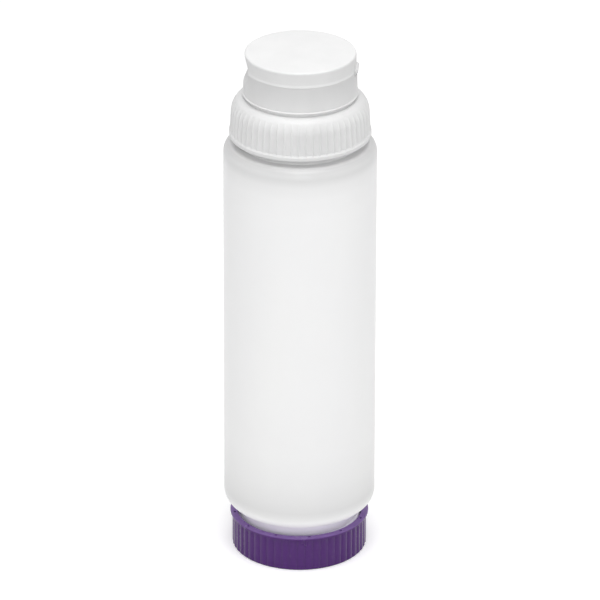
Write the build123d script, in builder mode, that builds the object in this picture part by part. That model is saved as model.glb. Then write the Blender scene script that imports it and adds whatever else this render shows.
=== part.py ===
from build123d import *
import os
from math import atan, cos, degrees, radians, sin, sqrt

# Squeeze bottle for sauce, open at both ends, standing on its refill cap.
# z = 0 is the foot of the refill cap and +Z runs up the bottle to the flip lid.
# The lid's hinge is on the +Y side and its thumb scoop on the -Y side.
# All lengths are in millimetres and all angles in degrees.

os.makedirs("parts", exist_ok=True)

# ---------------------------------------------------------------- driving dimensions

# Bottle: a thin tube with a threaded neck at each end
body_radius = 35.0
body_wall = 1.3
body_length = 182.7  # from the lower shoulder to the upper one
lower_round = 7.0  # rounding of the shoulder over the refill cap
upper_round = 5.0  # rounding of the shoulder under the dispensing cap
shoulder_flat = 0.5  # least flat ring between a neck and its shoulder's rounding
neck_radius = 27.5
neck_wall = 1.7
neck_length = 17.8
neck_root_fillet = 0.4
rim_chamfer = 0.4

# Fit of the screw caps on the necks
thread_room = 1.4  # between the neck and the bore of its cap, taken up by the threads
gasket_thickness = 1.5
gasket_clearance = 0.3  # gasket to cap bore, and gasket lip inside the neck
bore_lead_in = 0.4  # chamfer at the mouth of each cap

# Refill cap: rounded ribs under a thin flange
refill_height = 17.1
refill_floor = 2.4
refill_skirt_wall = 2.3
refill_flange_lap = 0.95  # of the flange over the ribs
refill_flange_thickness = 1.2
refill_flange_fillet = 0.25
refill_rib_count = 52
refill_rib_first_angle = 4.5  # of one crest, from +X
refill_rib_height = 0.5  # from the valleys between the ribs out to their crests
refill_foot_chamfer = 0.7
foot_ring_width = 3.6  # flat ring that the bottle stands on, chamfers included
foot_recess_depth = 0.6
notch_count = 12
notch_inset = 1.75  # from the flange's edge to the middle of a notch
notch_width = 1.2
notch_length = 0.9
notch_depth = 0.8
notch_first_angle = 12.0

# Dispensing cap: fluted skirt, domed shoulder and a turret
skirt_depth = 15.6  # from the sealing land down to the skirt's lower edge
skirt_wall = 2.6  # at the foot of the dome
skirt_flare = 0.5  # from the foot of the dome down to the foot of the flutes
band_height = 2.3
band_lap = 0.4  # of the plain band over the flutes
band_step = 0.7  # height of the slope from the flutes out to the band
band_edge_fillet = 0.4
shoulder_round = 8.0
shoulder_drop = 1.4  # from the turret's lip down to the top of the domed shoulder
turret_lip_rise = 4.9  # from the sealing land up to the turret's lip
flute_count = 60
flute_first_angle = 4.65  # of one flute, from +X
flute_width = 1.8
flute_depth = 0.35
flute_fade_angle = 48.0  # where the flutes run out on the dome
turret_set_back = 6.0  # from the skirt in to the turret's neck
turret_wall = 1.5  # at the turret's neck
turret_lip_lap = 0.95  # of the lip over the neck
turret_lip_height = 0.6
turret_foot_lap = 0.5  # of the turret's side over the neck, just over the lip
turret_draft = 0.4  # from there in to the turret's top
turret_height = 12.2  # from its lip to the parting plane under the lid
deck_rise = 0.8  # of the deck's top over the parting plane
deck_thickness = 1.6
upstand_wall = 1.3
upstand_rise = 2.2
snap_bead_radius = 0.3
spout_radius = 10.6
spout_wall = 1.7
spout_rise = 4.4
spout_fillet = 0.4
valve_boss_wall = 1.6
valve_boss_clearance = 0.2  # from the retainer's foot down to the boss's foot

# Valve and the ring that clamps it under the deck
valve_flange_lap = 3.3  # of the flange over the spout's bore
valve_flange_thickness = 1.5
valve_flange_clearance = 0.35
valve_sleeve_clearance = 0.6  # from the spout's bore in to the sleeve
valve_skin = 0.6
valve_sleeve_rise = 3.2
valve_roll_radius = 1.1
valve_head_rise = 1.8
valve_head_dish = 0.9
valve_head_thickness = 1.1
valve_slit_inset = 1.6  # from the head's edge in to the ends of the slits
valve_slit_width = 0.3
retainer_height = 2.7
retainer_bore_clearance = 0.3  # from the valve's sleeve out to the ring's bore
retainer_clearance = 0.05
retainer_chamfer = 0.6

# Flip lid
lid_height = 7.4
lid_plate = 1.4
lid_set_back = 0.1  # from the turret's top edge in to the lid's side
lid_draft = 0.2  # from the foot of the lid's side in to its top
lid_wall = 1.7
lid_lip_lap = 0.35  # of the lip over the lid's side
lid_lip_height = 0.5
lid_top_fillet = 0.9
lid_inner_fillet = 0.6
lid_snap_clearance = 0.6  # from the lid's wall in to the upstand, bead apart
lid_seal_gap = 0.4  # between the spout and the ring that closes round it
lid_seal_wall = 1.0
lid_seal_clearance = 1.6  # between that ring's foot and the deck
lid_pad_clearance = 1.6  # between the pad's foot and the rim of the valve's head
lid_pad_inset = 1.3  # from the roll of the valve in to the pad
lid_pad_fillet = 1.0

# Thumb scoop, cut across the lid and the turret
scoop_depth = 2.5
scoop_top_margin = 0.8  # from the lid's top down to the scoop's end
scoop_backing = 1.3  # wall left behind the scoop
scoop_clearance = 0.4  # from the deck's front edge to that wall in the lid

# Living hinge: a strap looped over the parting line, in a flat pocket
hinge_pocket_depth = 0.7
hinge_pocket_width = 14.2
hinge_pocket_above = 3.0
hinge_pocket_below = 2.6
hinge_side_clearance = 2.6  # from each side of the pocket in to the strap
hinge_pad_thickness = 0.5
hinge_pad_margin = 0.2
hinge_film = 0.4
hinge_loop_reach = 1.1
hinge_loop_half_height = 1.1

# How far cutting shapes stand out past what they cut, and how close a picked edge's size is
cutter_margin = 1.0
pick_tolerance = 0.01

# ---------------------------------------------------------------- derived places

# Radii, from the neck outwards and inwards
neck_bore_radius = neck_radius - neck_wall
cap_bore_radius = neck_radius + thread_room
gasket_outer_radius = cap_bore_radius - gasket_clearance
gasket_inner_radius = neck_bore_radius - gasket_clearance
refill_skirt_radius = cap_bore_radius + refill_skirt_wall
refill_flange_radius = refill_skirt_radius + refill_flange_lap
foot_recess_radius = refill_skirt_radius - foot_ring_width
notch_circle_radius = refill_flange_radius - notch_inset
skirt_top_radius = cap_bore_radius + skirt_wall
flute_foot_radius = skirt_top_radius + skirt_flare
band_radius = flute_foot_radius + band_lap
dome_centre_radius = skirt_top_radius - shoulder_round
turret_neck_radius = skirt_top_radius - turret_set_back
turret_bore_radius = turret_neck_radius - turret_wall
turret_lip_radius = turret_neck_radius + turret_lip_lap
turret_foot_radius = turret_neck_radius + turret_foot_lap
turret_top_radius = turret_foot_radius - turret_draft
lid_foot_radius = turret_top_radius - lid_set_back
lid_top_radius = lid_foot_radius - lid_draft
lid_lip_radius = lid_foot_radius + lid_lip_lap
lid_inner_radius = lid_foot_radius - lid_wall
upstand_radius = lid_inner_radius - lid_snap_clearance

# Radii, from the spout inwards and outwards
spout_bore_radius = spout_radius - spout_wall
seal_inner_radius = spout_radius + lid_seal_gap
seal_radius = seal_inner_radius + lid_seal_wall
valve_flange_radius = spout_bore_radius + valve_flange_lap
boss_bore_radius = valve_flange_radius + valve_flange_clearance
boss_radius = boss_bore_radius + valve_boss_wall
retainer_radius = boss_bore_radius - retainer_clearance
valve_sleeve_radius = spout_bore_radius - valve_sleeve_clearance
retainer_bore_radius = valve_sleeve_radius + retainer_bore_clearance
sleeve_inner_radius = valve_sleeve_radius - valve_skin
roll_centre_radius = valve_sleeve_radius - valve_roll_radius
roll_inner_radius = valve_roll_radius - valve_skin
roll_edge_radius = roll_centre_radius - valve_roll_radius
head_radius = roll_centre_radius - roll_inner_radius
lid_pad_radius = roll_edge_radius - lid_pad_inset
valve_slit_length = 2 * (roll_edge_radius - valve_slit_inset)

# Heights, from the foot up
lower_rim_z = refill_floor + gasket_thickness
lower_shoulder_z = lower_rim_z + neck_length
upper_shoulder_z = lower_shoulder_z + body_length
upper_rim_z = upper_shoulder_z + neck_length
land_z = upper_rim_z + gasket_thickness
refill_flange_z = refill_height - refill_flange_thickness
skirt_foot_z = land_z - skirt_depth
band_top_z = skirt_foot_z + band_height
turret_lip_z = land_z + turret_lip_rise
dome_top_z = turret_lip_z - shoulder_drop
dome_base_z = dome_top_z - shoulder_round
dome_edge_z = dome_base_z + sqrt(shoulder_round**2 - (turret_neck_radius - dome_centre_radius) ** 2)
parting_z = turret_lip_z + turret_height
deck_top_z = parting_z + deck_rise
deck_underside_z = deck_top_z - deck_thickness
upstand_top_z = parting_z + upstand_rise
spout_top_z = parting_z + spout_rise
valve_flange_foot_z = deck_underside_z - valve_flange_thickness
retainer_foot_z = valve_flange_foot_z - retainer_height
boss_foot_z = retainer_foot_z - valve_boss_clearance
roll_z = deck_underside_z + valve_sleeve_rise
head_rim_z = deck_underside_z + valve_head_rise
head_centre_z = head_rim_z - valve_head_dish
lid_top_z = parting_z + lid_height
lid_ceiling_z = lid_top_z - lid_plate
seal_foot_z = deck_top_z + lid_seal_clearance
pad_foot_z = head_rim_z + lid_pad_clearance

# The scoop is part of a cylinder that lies along X at the height of the parting plane
scoop_half_height = lid_height - scoop_top_margin
scoop_cylinder_radius = (scoop_half_height**2 + scoop_depth**2) / (2 * scoop_depth)
scoop_floor_y = -(lid_foot_radius - scoop_depth)
scoop_axis_y = scoop_floor_y - scoop_cylinder_radius
backing_y = scoop_floor_y + scoop_backing
backing_foot_z = parting_z - scoop_half_height - scoop_backing
deck_front_y = backing_y + scoop_clearance

hinge_flat_y = lid_foot_radius - hinge_pocket_depth
hinge_strap_width = hinge_pocket_width - 2 * hinge_side_clearance

# ---------------------------------------------------------------- bottle

# Each rounding is limited by the width of its shoulder
widest_turn = body_radius - neck_radius - shoulder_flat
lower_turn_radius = min(lower_round, widest_turn)
upper_turn_radius = min(upper_round, widest_turn)
lower_turn_centre = (body_radius - lower_turn_radius, lower_shoulder_z + lower_turn_radius)
upper_turn_centre = (body_radius - upper_turn_radius, upper_shoulder_z - upper_turn_radius)

with BuildPart() as bottle_body:
    with BuildSketch(Plane.XZ):
        with BuildLine():
            Polyline(
                (0, lower_rim_z),
                (neck_radius, lower_rim_z),
                (neck_radius, lower_shoulder_z),
                (lower_turn_centre[0], lower_shoulder_z),
            )
            lower_turn = CenterArc(lower_turn_centre, lower_turn_radius, 270, 90)
            upper_turn = CenterArc(upper_turn_centre, upper_turn_radius, 0, 90)
            Line(lower_turn @ 1, upper_turn @ 0)
            Polyline(
                upper_turn @ 1,
                (neck_radius, upper_shoulder_z),
                (neck_radius, upper_rim_z),
                (0, upper_rim_z),
                (0, lower_rim_z),
            )
        make_face()
    revolve(axis=Axis.Z)
    neck_roots = (
        bottle_body.edges()
        .filter_by(GeomType.CIRCLE)
        .filter_by(lambda edge: abs(edge.radius - neck_radius) < pick_tolerance)
        .sort_by(Axis.Z)
    )
    fillet(neck_roots[1:3], neck_root_fillet)
    chamfer(ShapeList([neck_roots[0], neck_roots[3]]), rim_chamfer)
    with BuildSketch(Plane.XZ):
        with BuildLine():
            lower_inner_turn = CenterArc(lower_turn_centre, lower_turn_radius - body_wall, 270, 90)
            upper_inner_turn = CenterArc(upper_turn_centre, upper_turn_radius - body_wall, 0, 90)
            Polyline(
                (0, lower_rim_z),
                (neck_bore_radius, lower_rim_z),
                (neck_bore_radius, lower_shoulder_z + body_wall),
                lower_inner_turn @ 0,
            )
            Line(lower_inner_turn @ 1, upper_inner_turn @ 0)
            Polyline(
                upper_inner_turn @ 1,
                (neck_bore_radius, upper_shoulder_z - body_wall),
                (neck_bore_radius, upper_rim_z),
                (0, upper_rim_z),
                (0, lower_rim_z),
            )
        make_face()
    revolve(axis=Axis.Z, mode=Mode.SUBTRACT)
bottle_body.part.label = "bottle_body"
export_step(bottle_body.part, "parts/bottle_body.step")

# ---------------------------------------------------------------- gaskets

with BuildPart() as refill_gasket:
    with BuildSketch(Plane.XY.offset(refill_floor)):
        Circle(gasket_outer_radius)
        Circle(gasket_inner_radius, mode=Mode.SUBTRACT)
    extrude(amount=gasket_thickness)
refill_gasket.part.label = "refill_gasket"
export_step(refill_gasket.part, "parts/refill_gasket.step")

with BuildPart() as dispensing_gasket:
    with BuildSketch(Plane.XY.offset(upper_rim_z)):
        Circle(gasket_outer_radius)
        Circle(gasket_inner_radius, mode=Mode.SUBTRACT)
    extrude(amount=gasket_thickness)
dispensing_gasket.part.label = "dispensing_gasket"
export_step(dispensing_gasket.part, "parts/dispensing_gasket.step")

# ---------------------------------------------------------------- refill cap

half_rib_angle = 180.0 / refill_rib_count
valley_radius = refill_skirt_radius - refill_rib_height

with BuildPart() as refill_cap:
    with BuildSketch(Plane.XZ):
        with BuildLine():
            Polyline(
                (0, foot_recess_depth),
                (foot_recess_radius, foot_recess_depth),
                (foot_recess_radius + foot_recess_depth, 0),
                (refill_skirt_radius - refill_foot_chamfer, 0),
                (refill_skirt_radius, refill_foot_chamfer),
                (refill_skirt_radius, refill_flange_z),
                (refill_flange_radius, refill_flange_z),
                (refill_flange_radius, refill_height),
                (cap_bore_radius + bore_lead_in, refill_height),
                (cap_bore_radius, refill_height - bore_lead_in),
                (cap_bore_radius, refill_floor),
                (0, refill_floor),
                close=True,
            )
        make_face()
    revolve(axis=Axis.Z)
    flange_edges = refill_cap.edges().filter_by(
        lambda edge: edge.geom_type == GeomType.CIRCLE
        and abs(edge.radius - refill_flange_radius) < pick_tolerance
    )
    fillet(flange_edges, refill_flange_fillet)
    # Rounded ribs that meet in shallow valleys
    with BuildSketch():
        Circle(refill_flange_radius + cutter_margin)
        with BuildLine():
            for rib in range(refill_rib_count):
                crest_angle = refill_rib_first_angle + 2 * half_rib_angle * rib
                ThreePointArc(
                    Vector(valley_radius, 0).rotate(Axis.Z, crest_angle - half_rib_angle),
                    Vector(refill_skirt_radius, 0).rotate(Axis.Z, crest_angle),
                    Vector(valley_radius, 0).rotate(Axis.Z, crest_angle + half_rib_angle),
                )
        make_face(mode=Mode.SUBTRACT)
    extrude(amount=refill_flange_z, mode=Mode.SUBTRACT)
    # Small blind notches round the top of the flange
    with BuildSketch(Plane.XY.offset(refill_height)):
        with PolarLocations(notch_circle_radius, notch_count, start_angle=notch_first_angle):
            Rectangle(notch_length, notch_width)
    extrude(amount=-notch_depth, mode=Mode.SUBTRACT)
refill_cap.part.label = "refill_cap"
export_step(refill_cap.part, "parts/refill_cap.step")

# ---------------------------------------------------------------- dispensing cap

# One flute, as a wedge whose inner edge follows the skirt and fades out on the dome
flute_flank_angle = degrees(atan(flute_depth / (flute_width / 2)))
flute_floor_radius = skirt_top_radius - flute_depth
fade_radius = dome_centre_radius + shoulder_round * cos(radians(flute_fade_angle))
fade_z = dome_base_z + shoulder_round * sin(radians(flute_fade_angle))
cutter_radius = band_radius + cutter_margin

with BuildPart() as flute_cutter:
    with BuildSketch(Plane.XZ):
        with BuildLine():
            Polyline(
                (fade_radius, fade_z),
                (cutter_radius, fade_z),
                (cutter_radius, band_top_z),
                (flute_foot_radius - flute_depth, band_top_z),
                (flute_floor_radius, dome_base_z),
            )
            TangentArc((flute_floor_radius, dome_base_z), (fade_radius, fade_z), tangent=(0, 1))
        make_face()
    extrude(amount=flute_width / 2, both=True, taper=flute_flank_angle)

with BuildPart() as dispensing_cap:
    with BuildSketch(Plane.XZ):
        with BuildLine():
            Polyline(
                (cap_bore_radius + bore_lead_in, skirt_foot_z),
                (band_radius, skirt_foot_z),
                (band_radius, band_top_z - band_step),
                (flute_foot_radius, band_top_z),
                (skirt_top_radius, dome_base_z),
            )
            TangentArc(
                (skirt_top_radius, dome_base_z), (turret_neck_radius, dome_edge_z), tangent=(0, 1)
            )
            Polyline(
                (turret_neck_radius, dome_edge_z),
                (turret_neck_radius, turret_lip_z),
                (turret_lip_radius, turret_lip_z),
                (turret_lip_radius, turret_lip_z + turret_lip_height / 2),
                (turret_foot_radius, turret_lip_z + turret_lip_height),
                (turret_top_radius, parting_z),
                (upstand_radius, parting_z),
                (upstand_radius, upstand_top_z),
                (upstand_radius - upstand_wall, upstand_top_z),
                (upstand_radius - upstand_wall, deck_top_z),
                (spout_radius, deck_top_z),
                (spout_radius, spout_top_z),
                (spout_bore_radius, spout_top_z),
                (spout_bore_radius, deck_underside_z),
                (boss_bore_radius, deck_underside_z),
                (boss_bore_radius, boss_foot_z),
                (boss_radius, boss_foot_z),
                (boss_radius, deck_underside_z),
                (turret_bore_radius, deck_underside_z),
                (turret_bore_radius, land_z),
                (cap_bore_radius, land_z),
                (cap_bore_radius, skirt_foot_z + bore_lead_in),
                (cap_bore_radius + bore_lead_in, skirt_foot_z),
            )
        make_face()
    revolve(axis=Axis.Z)
    skirt_foot_edge = (
        dispensing_cap.edges()
        .filter_by(GeomType.CIRCLE)
        .filter_by(lambda edge: abs(edge.radius - band_radius) < pick_tolerance)
    )
    fillet(skirt_foot_edge, band_edge_fillet)
    spout_edges = dispensing_cap.edges().filter_by(
        lambda edge: edge.geom_type == GeomType.CIRCLE
        and abs(edge.arc_center.Z - (spout_top_z)) < pick_tolerance
    )
    fillet(spout_edges, spout_fillet)
    # Snap bead round the upstand
    with BuildSketch(Plane.XZ):
        with Locations((upstand_radius, parting_z + upstand_rise / 2 + snap_bead_radius)):
            Circle(snap_bead_radius)
    revolve(axis=Axis.Z)
    # Thumb scoop, with the wall carried on behind it
    with BuildSketch(Plane.XY.offset(backing_foot_z)):
        Circle(turret_bore_radius)
        with Locations((0, backing_y)):
            Rectangle(
                2 * turret_bore_radius,
                2 * turret_bore_radius,
                align=(Align.CENTER, Align.MIN),
                mode=Mode.SUBTRACT,
            )
    extrude(until=Until.NEXT)
    with BuildSketch(Plane.XY.offset(parting_z)):
        with Locations((0, deck_front_y)):
            Rectangle(2 * upstand_radius, upstand_radius, align=(Align.CENTER, Align.MAX))
    extrude(amount=upstand_rise, mode=Mode.SUBTRACT)
    with BuildSketch(Plane.YZ):
        with Locations((scoop_axis_y, parting_z)):
            Circle(scoop_cylinder_radius)
    extrude(amount=turret_foot_radius, both=True, mode=Mode.SUBTRACT)
    # Lower half of the hinge pocket
    with BuildSketch(Plane.XY.offset(parting_z)):
        with Locations((0, hinge_flat_y)):
            Rectangle(hinge_pocket_width, lid_foot_radius, align=(Align.CENTER, Align.MIN))
    extrude(amount=-hinge_pocket_below, mode=Mode.SUBTRACT)
    # Flutes
    with PolarLocations(0, flute_count, start_angle=flute_first_angle):
        add(flute_cutter.part, mode=Mode.SUBTRACT)
dispensing_cap.part.label = "dispensing_cap"
export_step(dispensing_cap.part, "parts/dispensing_cap.step")

# ---------------------------------------------------------------- valve and retainer

with BuildPart() as silicone_valve:
    with BuildSketch(Plane.XZ):
        with BuildLine():
            Polyline(
                (valve_flange_radius, deck_underside_z),
                (valve_flange_radius, valve_flange_foot_z),
                (sleeve_inner_radius, valve_flange_foot_z),
                (sleeve_inner_radius, roll_z),
            )
            CenterArc((roll_centre_radius, roll_z), roll_inner_radius, 0, 180)
            Polyline(
                (head_radius, roll_z),
                (head_radius, head_rim_z - valve_head_thickness),
                (0, head_centre_z - valve_head_thickness),
                (0, head_centre_z),
            )
            dish = TangentArc(
                (0, head_centre_z),
                (roll_edge_radius, head_rim_z),
                tangent=(1, 0),
            )
            Line(dish @ 1, (roll_edge_radius, roll_z))
            CenterArc((roll_centre_radius, roll_z), valve_roll_radius, 180, -180)
            Polyline(
                (valve_sleeve_radius, roll_z),
                (valve_sleeve_radius, deck_underside_z),
                (valve_flange_radius, deck_underside_z),
            )
        make_face()
    revolve(axis=Axis.Z)
    # Crossed slits that open under pressure
    with BuildSketch(Plane.XY.offset(valve_flange_foot_z)):
        Rectangle(valve_slit_length, valve_slit_width)
        Rectangle(valve_slit_width, valve_slit_length)
    extrude(amount=roll_z - valve_flange_foot_z, mode=Mode.SUBTRACT)
silicone_valve.part.label = "silicone_valve"
export_step(silicone_valve.part, "parts/silicone_valve.step")

with BuildPart() as valve_retainer:
    with BuildSketch(Plane.XY.offset(valve_flange_foot_z)):
        Circle(retainer_radius)
        Circle(retainer_bore_radius, mode=Mode.SUBTRACT)
    extrude(amount=-retainer_height)
    lower_edges = valve_retainer.edges().group_by(Axis.Z)[0]
    chamfer(lower_edges, retainer_chamfer)
valve_retainer.part.label = "valve_retainer"
export_step(valve_retainer.part, "parts/valve_retainer.step")

# ---------------------------------------------------------------- flip lid

with BuildPart() as flip_lid:
    with BuildSketch(Plane.XZ):
        with BuildLine():
            Polyline(
                (0, lid_top_z),
                (lid_top_radius, lid_top_z),
                (lid_foot_radius, parting_z + 2 * lid_lip_height),
                (lid_lip_radius, parting_z + lid_lip_height),
                (lid_lip_radius, parting_z),
                (lid_inner_radius, parting_z),
                (lid_inner_radius, lid_ceiling_z),
                (seal_radius, lid_ceiling_z),
                (seal_radius, seal_foot_z),
                (seal_inner_radius, seal_foot_z),
                (seal_inner_radius, lid_ceiling_z),
                (lid_pad_radius, lid_ceiling_z),
                (lid_pad_radius, pad_foot_z),
                (0, pad_foot_z),
                (0, lid_top_z),
            )
        make_face()
    revolve(axis=Axis.Z)
    top_edge = flip_lid.edges().filter_by(GeomType.CIRCLE).group_by(Axis.Z)[-1]
    fillet(top_edge, lid_top_fillet)
    pad_edge = flip_lid.edges().filter_by(
        lambda edge: edge.geom_type == GeomType.CIRCLE
        and abs(edge.arc_center.Z - (pad_foot_z)) < pick_tolerance
        and abs(edge.radius - lid_pad_radius) < pick_tolerance
    )
    fillet(pad_edge, lid_pad_fillet)
    inner_edge = flip_lid.edges().filter_by(
        lambda edge: edge.geom_type == GeomType.CIRCLE
        and abs(edge.arc_center.Z - lid_ceiling_z) < pick_tolerance
        and abs(edge.radius - lid_inner_radius) < pick_tolerance
    )
    fillet(inner_edge, lid_inner_fillet)
    # Thumb scoop, with the wall carried on behind it
    with BuildSketch(Plane.XY.offset(parting_z)):
        Circle(lid_inner_radius)
        with Locations((0, backing_y)):
            Rectangle(
                2 * lid_inner_radius,
                2 * lid_inner_radius,
                align=(Align.CENTER, Align.MIN),
                mode=Mode.SUBTRACT,
            )
    extrude(amount=lid_ceiling_z - parting_z)
    with BuildSketch(Plane.YZ):
        with Locations((scoop_axis_y, parting_z)):
            Circle(scoop_cylinder_radius)
    extrude(amount=lid_lip_radius, both=True, mode=Mode.SUBTRACT)
    # Upper half of the hinge pocket
    with BuildSketch(Plane.XY.offset(parting_z)):
        with Locations((0, hinge_flat_y)):
            Rectangle(hinge_pocket_width, lid_foot_radius, align=(Align.CENTER, Align.MIN))
    extrude(amount=hinge_pocket_above, mode=Mode.SUBTRACT)
flip_lid.part.label = "flip_lid"
export_step(flip_lid.part, "parts/flip_lid.step")

# ---------------------------------------------------------------- living hinge

pad_face_y = hinge_flat_y + hinge_pad_thickness
loop_top_z = parting_z + hinge_loop_half_height
loop_foot_z = parting_z - hinge_loop_half_height
film_top_z = loop_top_z - hinge_film
film_foot_z = loop_foot_z + hinge_film
with BuildPart() as living_hinge:
    with BuildSketch(Plane.YZ):
        with BuildLine():
            Polyline(
                (hinge_flat_y, film_top_z),
                (hinge_flat_y, parting_z + hinge_pocket_above - hinge_pad_margin),
                (pad_face_y, parting_z + hinge_pocket_above - hinge_pad_margin),
                (pad_face_y, loop_top_z),
            )
            ThreePointArc(
                (pad_face_y, loop_top_z),
                (pad_face_y + hinge_loop_reach, parting_z),
                (pad_face_y, loop_foot_z),
            )
            Polyline(
                (pad_face_y, loop_foot_z),
                (pad_face_y, parting_z - hinge_pocket_below + hinge_pad_margin),
                (hinge_flat_y, parting_z - hinge_pocket_below + hinge_pad_margin),
                (hinge_flat_y, film_foot_z),
                (pad_face_y - hinge_film, film_foot_z),
            )
            ThreePointArc(
                (pad_face_y - hinge_film, film_foot_z),
                (pad_face_y + hinge_loop_reach - hinge_film, parting_z),
                (pad_face_y - hinge_film, film_top_z),
            )
            Line((pad_face_y - hinge_film, film_top_z), (hinge_flat_y, film_top_z))
        make_face()
    extrude(amount=hinge_strap_width / 2, both=True)
living_hinge.part.label = "living_hinge"
export_step(living_hinge.part, "parts/living_hinge.step")
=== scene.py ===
from math import asin, atan2, cos, degrees, inf, pi, radians, sin, sqrt, tan

import bmesh
import bpy
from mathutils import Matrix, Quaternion, Vector


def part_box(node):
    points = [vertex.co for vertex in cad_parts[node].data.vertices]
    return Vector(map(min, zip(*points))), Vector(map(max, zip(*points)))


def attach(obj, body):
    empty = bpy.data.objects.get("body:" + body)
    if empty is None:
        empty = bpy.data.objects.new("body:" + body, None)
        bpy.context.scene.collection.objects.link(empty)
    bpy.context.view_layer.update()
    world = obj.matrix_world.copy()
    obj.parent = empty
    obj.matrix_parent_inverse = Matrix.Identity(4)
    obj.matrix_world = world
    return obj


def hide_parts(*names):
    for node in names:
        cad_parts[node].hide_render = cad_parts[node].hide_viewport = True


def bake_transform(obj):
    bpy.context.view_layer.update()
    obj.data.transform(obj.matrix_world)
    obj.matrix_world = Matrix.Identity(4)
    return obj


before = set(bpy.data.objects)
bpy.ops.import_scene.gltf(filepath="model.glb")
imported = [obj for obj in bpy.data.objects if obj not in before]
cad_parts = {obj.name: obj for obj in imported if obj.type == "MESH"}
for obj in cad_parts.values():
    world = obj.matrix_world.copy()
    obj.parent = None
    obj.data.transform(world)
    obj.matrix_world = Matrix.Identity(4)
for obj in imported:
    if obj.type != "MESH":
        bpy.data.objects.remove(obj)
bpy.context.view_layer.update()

# A sauce bottle for refilling and dispensing. A milky tube has a threaded neck at each end, closed
# by a ribbed purple cap below and by a white flip-lid cap with a silicone valve above.

# Blender's lengths are in metres, and the object's sizes below are in millimetres
MM = 0.001


# ================================================================ sizes taken from the frame


def node_low(node):
    """Lowest height of a CAD node, in millimetres."""
    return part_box(node)[0].z / MM


def node_high(node):
    """Highest height of a CAD node, in millimetres."""
    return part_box(node)[1].z / MM


def node_radius(node):
    """Largest radius of a round CAD node, in millimetres."""
    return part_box(node)[1].x / MM


BODY_RADIUS = node_radius("bottle_body")
LOWER_RIM_Z = node_low("bottle_body")
UPPER_RIM_Z = node_high("bottle_body")
LAND_Z = node_high("dispensing_gasket")
SKIRT_FOOT_Z = node_low("dispensing_cap")
BAND_RADIUS = node_radius("dispensing_cap")
PARTING_Z = node_low("flip_lid")
LID_TOP_Z = node_high("flip_lid")
REFILL_HEIGHT = node_high("refill_cap")
FLANGE_RADIUS = node_radius("refill_cap")
GASKET_RADIUS = node_radius("refill_gasket")
GASKET_FOOT_Z = node_low("refill_gasket")
VALVE_FLANGE_RADIUS = node_radius("silicone_valve")
VALVE_FOOT_Z = node_low("silicone_valve")
VALVE_TOP_Z = node_high("silicone_valve")
RETAINER_RADIUS = node_radius("valve_retainer")
RETAINER_FOOT_Z = node_low("valve_retainer")
HINGE_FLAT_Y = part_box("living_hinge")[0].y / MM
HINGE_TIP_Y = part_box("living_hinge")[1].y / MM
HINGE_FOOT_Z = node_low("living_hinge")
HINGE_TOP_Z = node_high("living_hinge")
HINGE_HALF_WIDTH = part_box("living_hinge")[1].x / MM

# Sizes that no box of the frame gives, in millimetres
NECK_RADIUS = 27.5
NECK_BORE = 25.8
NECK_LENGTH = 17.8
LOWER_SHOULDER_Z = LOWER_RIM_Z + NECK_LENGTH
UPPER_SHOULDER_Z = UPPER_RIM_Z - NECK_LENGTH
CAP_BORE = 28.9
TURRET_LIP_Z = LAND_Z + 4.9
TURN_PITCH = 25.4 / 6  # six threads to the inch


# ================================================================ outlines and meshes

ARC_STEP = 0.35  # longest step along a rounded corner
WELD = 0.004  # points closer than this become one
SLIVER = 0.002  # edges shorter than this are dissolved
TOUCH = 0.01  # slack in tests of where a point lies
SHARP_ANGLE = 38  # edges that turn by more degrees are shaded sharp
CRISP_ANGLE = 40  # edges that turn by more degrees take a bevel


def rounded(corners, steps=5):
    """Points of a closed outline whose corners (r, z, rounding) are turned into arcs."""
    points = []
    count = len(corners)
    for i, (r, z, rounding) in enumerate(corners):
        here = Vector((r, z))
        if rounding <= 0:
            points.append((r, z))
            continue
        before = (Vector(corners[i - 1][:2]) - here).normalized()
        after = (Vector(corners[(i + 1) % count][:2]) - here).normalized()
        half = before.angle(after) / 2
        centre = here + (before + after).normalized() * (rounding / sin(half))
        # The arc's spokes turn from the side before the corner to the side after it
        back = rounding / tan(half)
        first = here + before * back - centre
        last = here + after * back - centre
        turn = first.angle_signed(last)
        arc_steps = max(steps, int(abs(turn) * rounding / ARC_STEP))
        for k in range(arc_steps + 1):
            angle = -turn * k / arc_steps
            along_r = first.x * cos(angle) - first.y * sin(angle)
            along_z = first.x * sin(angle) + first.y * cos(angle)
            points.append((centre.x + along_r, centre.y + along_z))
    return points


def arc(centre_r, centre_z, radius, first, last, steps):
    """An arc of an outline, from one angle to another in degrees, as corners without rounding."""
    angles = [radians(first + (last - first) * k / steps) for k in range(steps + 1)]
    return [(centre_r + radius * cos(a), centre_z + radius * sin(a), 0) for a in angles]


def with_steps(points, longest, z_low=-inf, z_high=inf, r_low=0.0):
    """A closed outline, with the long runs between two heights and past a radius cut up."""
    out = []
    for (r0, z0), (r1, z1) in zip(points, points[1:] + points[:1]):
        out.append((r0, z0))
        run = sqrt((r1 - r0) ** 2 + (z1 - z0) ** 2)
        if z_low <= (z0 + z1) / 2 <= z_high and (r0 + r1) / 2 > r_low and run > longest:
            pieces = int(run / longest) + 1
            out += [
                (r0 + (r1 - r0) * k / pieces, z0 + (z1 - z0) * k / pieces)
                for k in range(1, pieces)
            ]
    return out


def even_angles(count):
    """Angles of a full turn in even steps."""
    return [2 * pi * k / count for k in range(count)]


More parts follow.
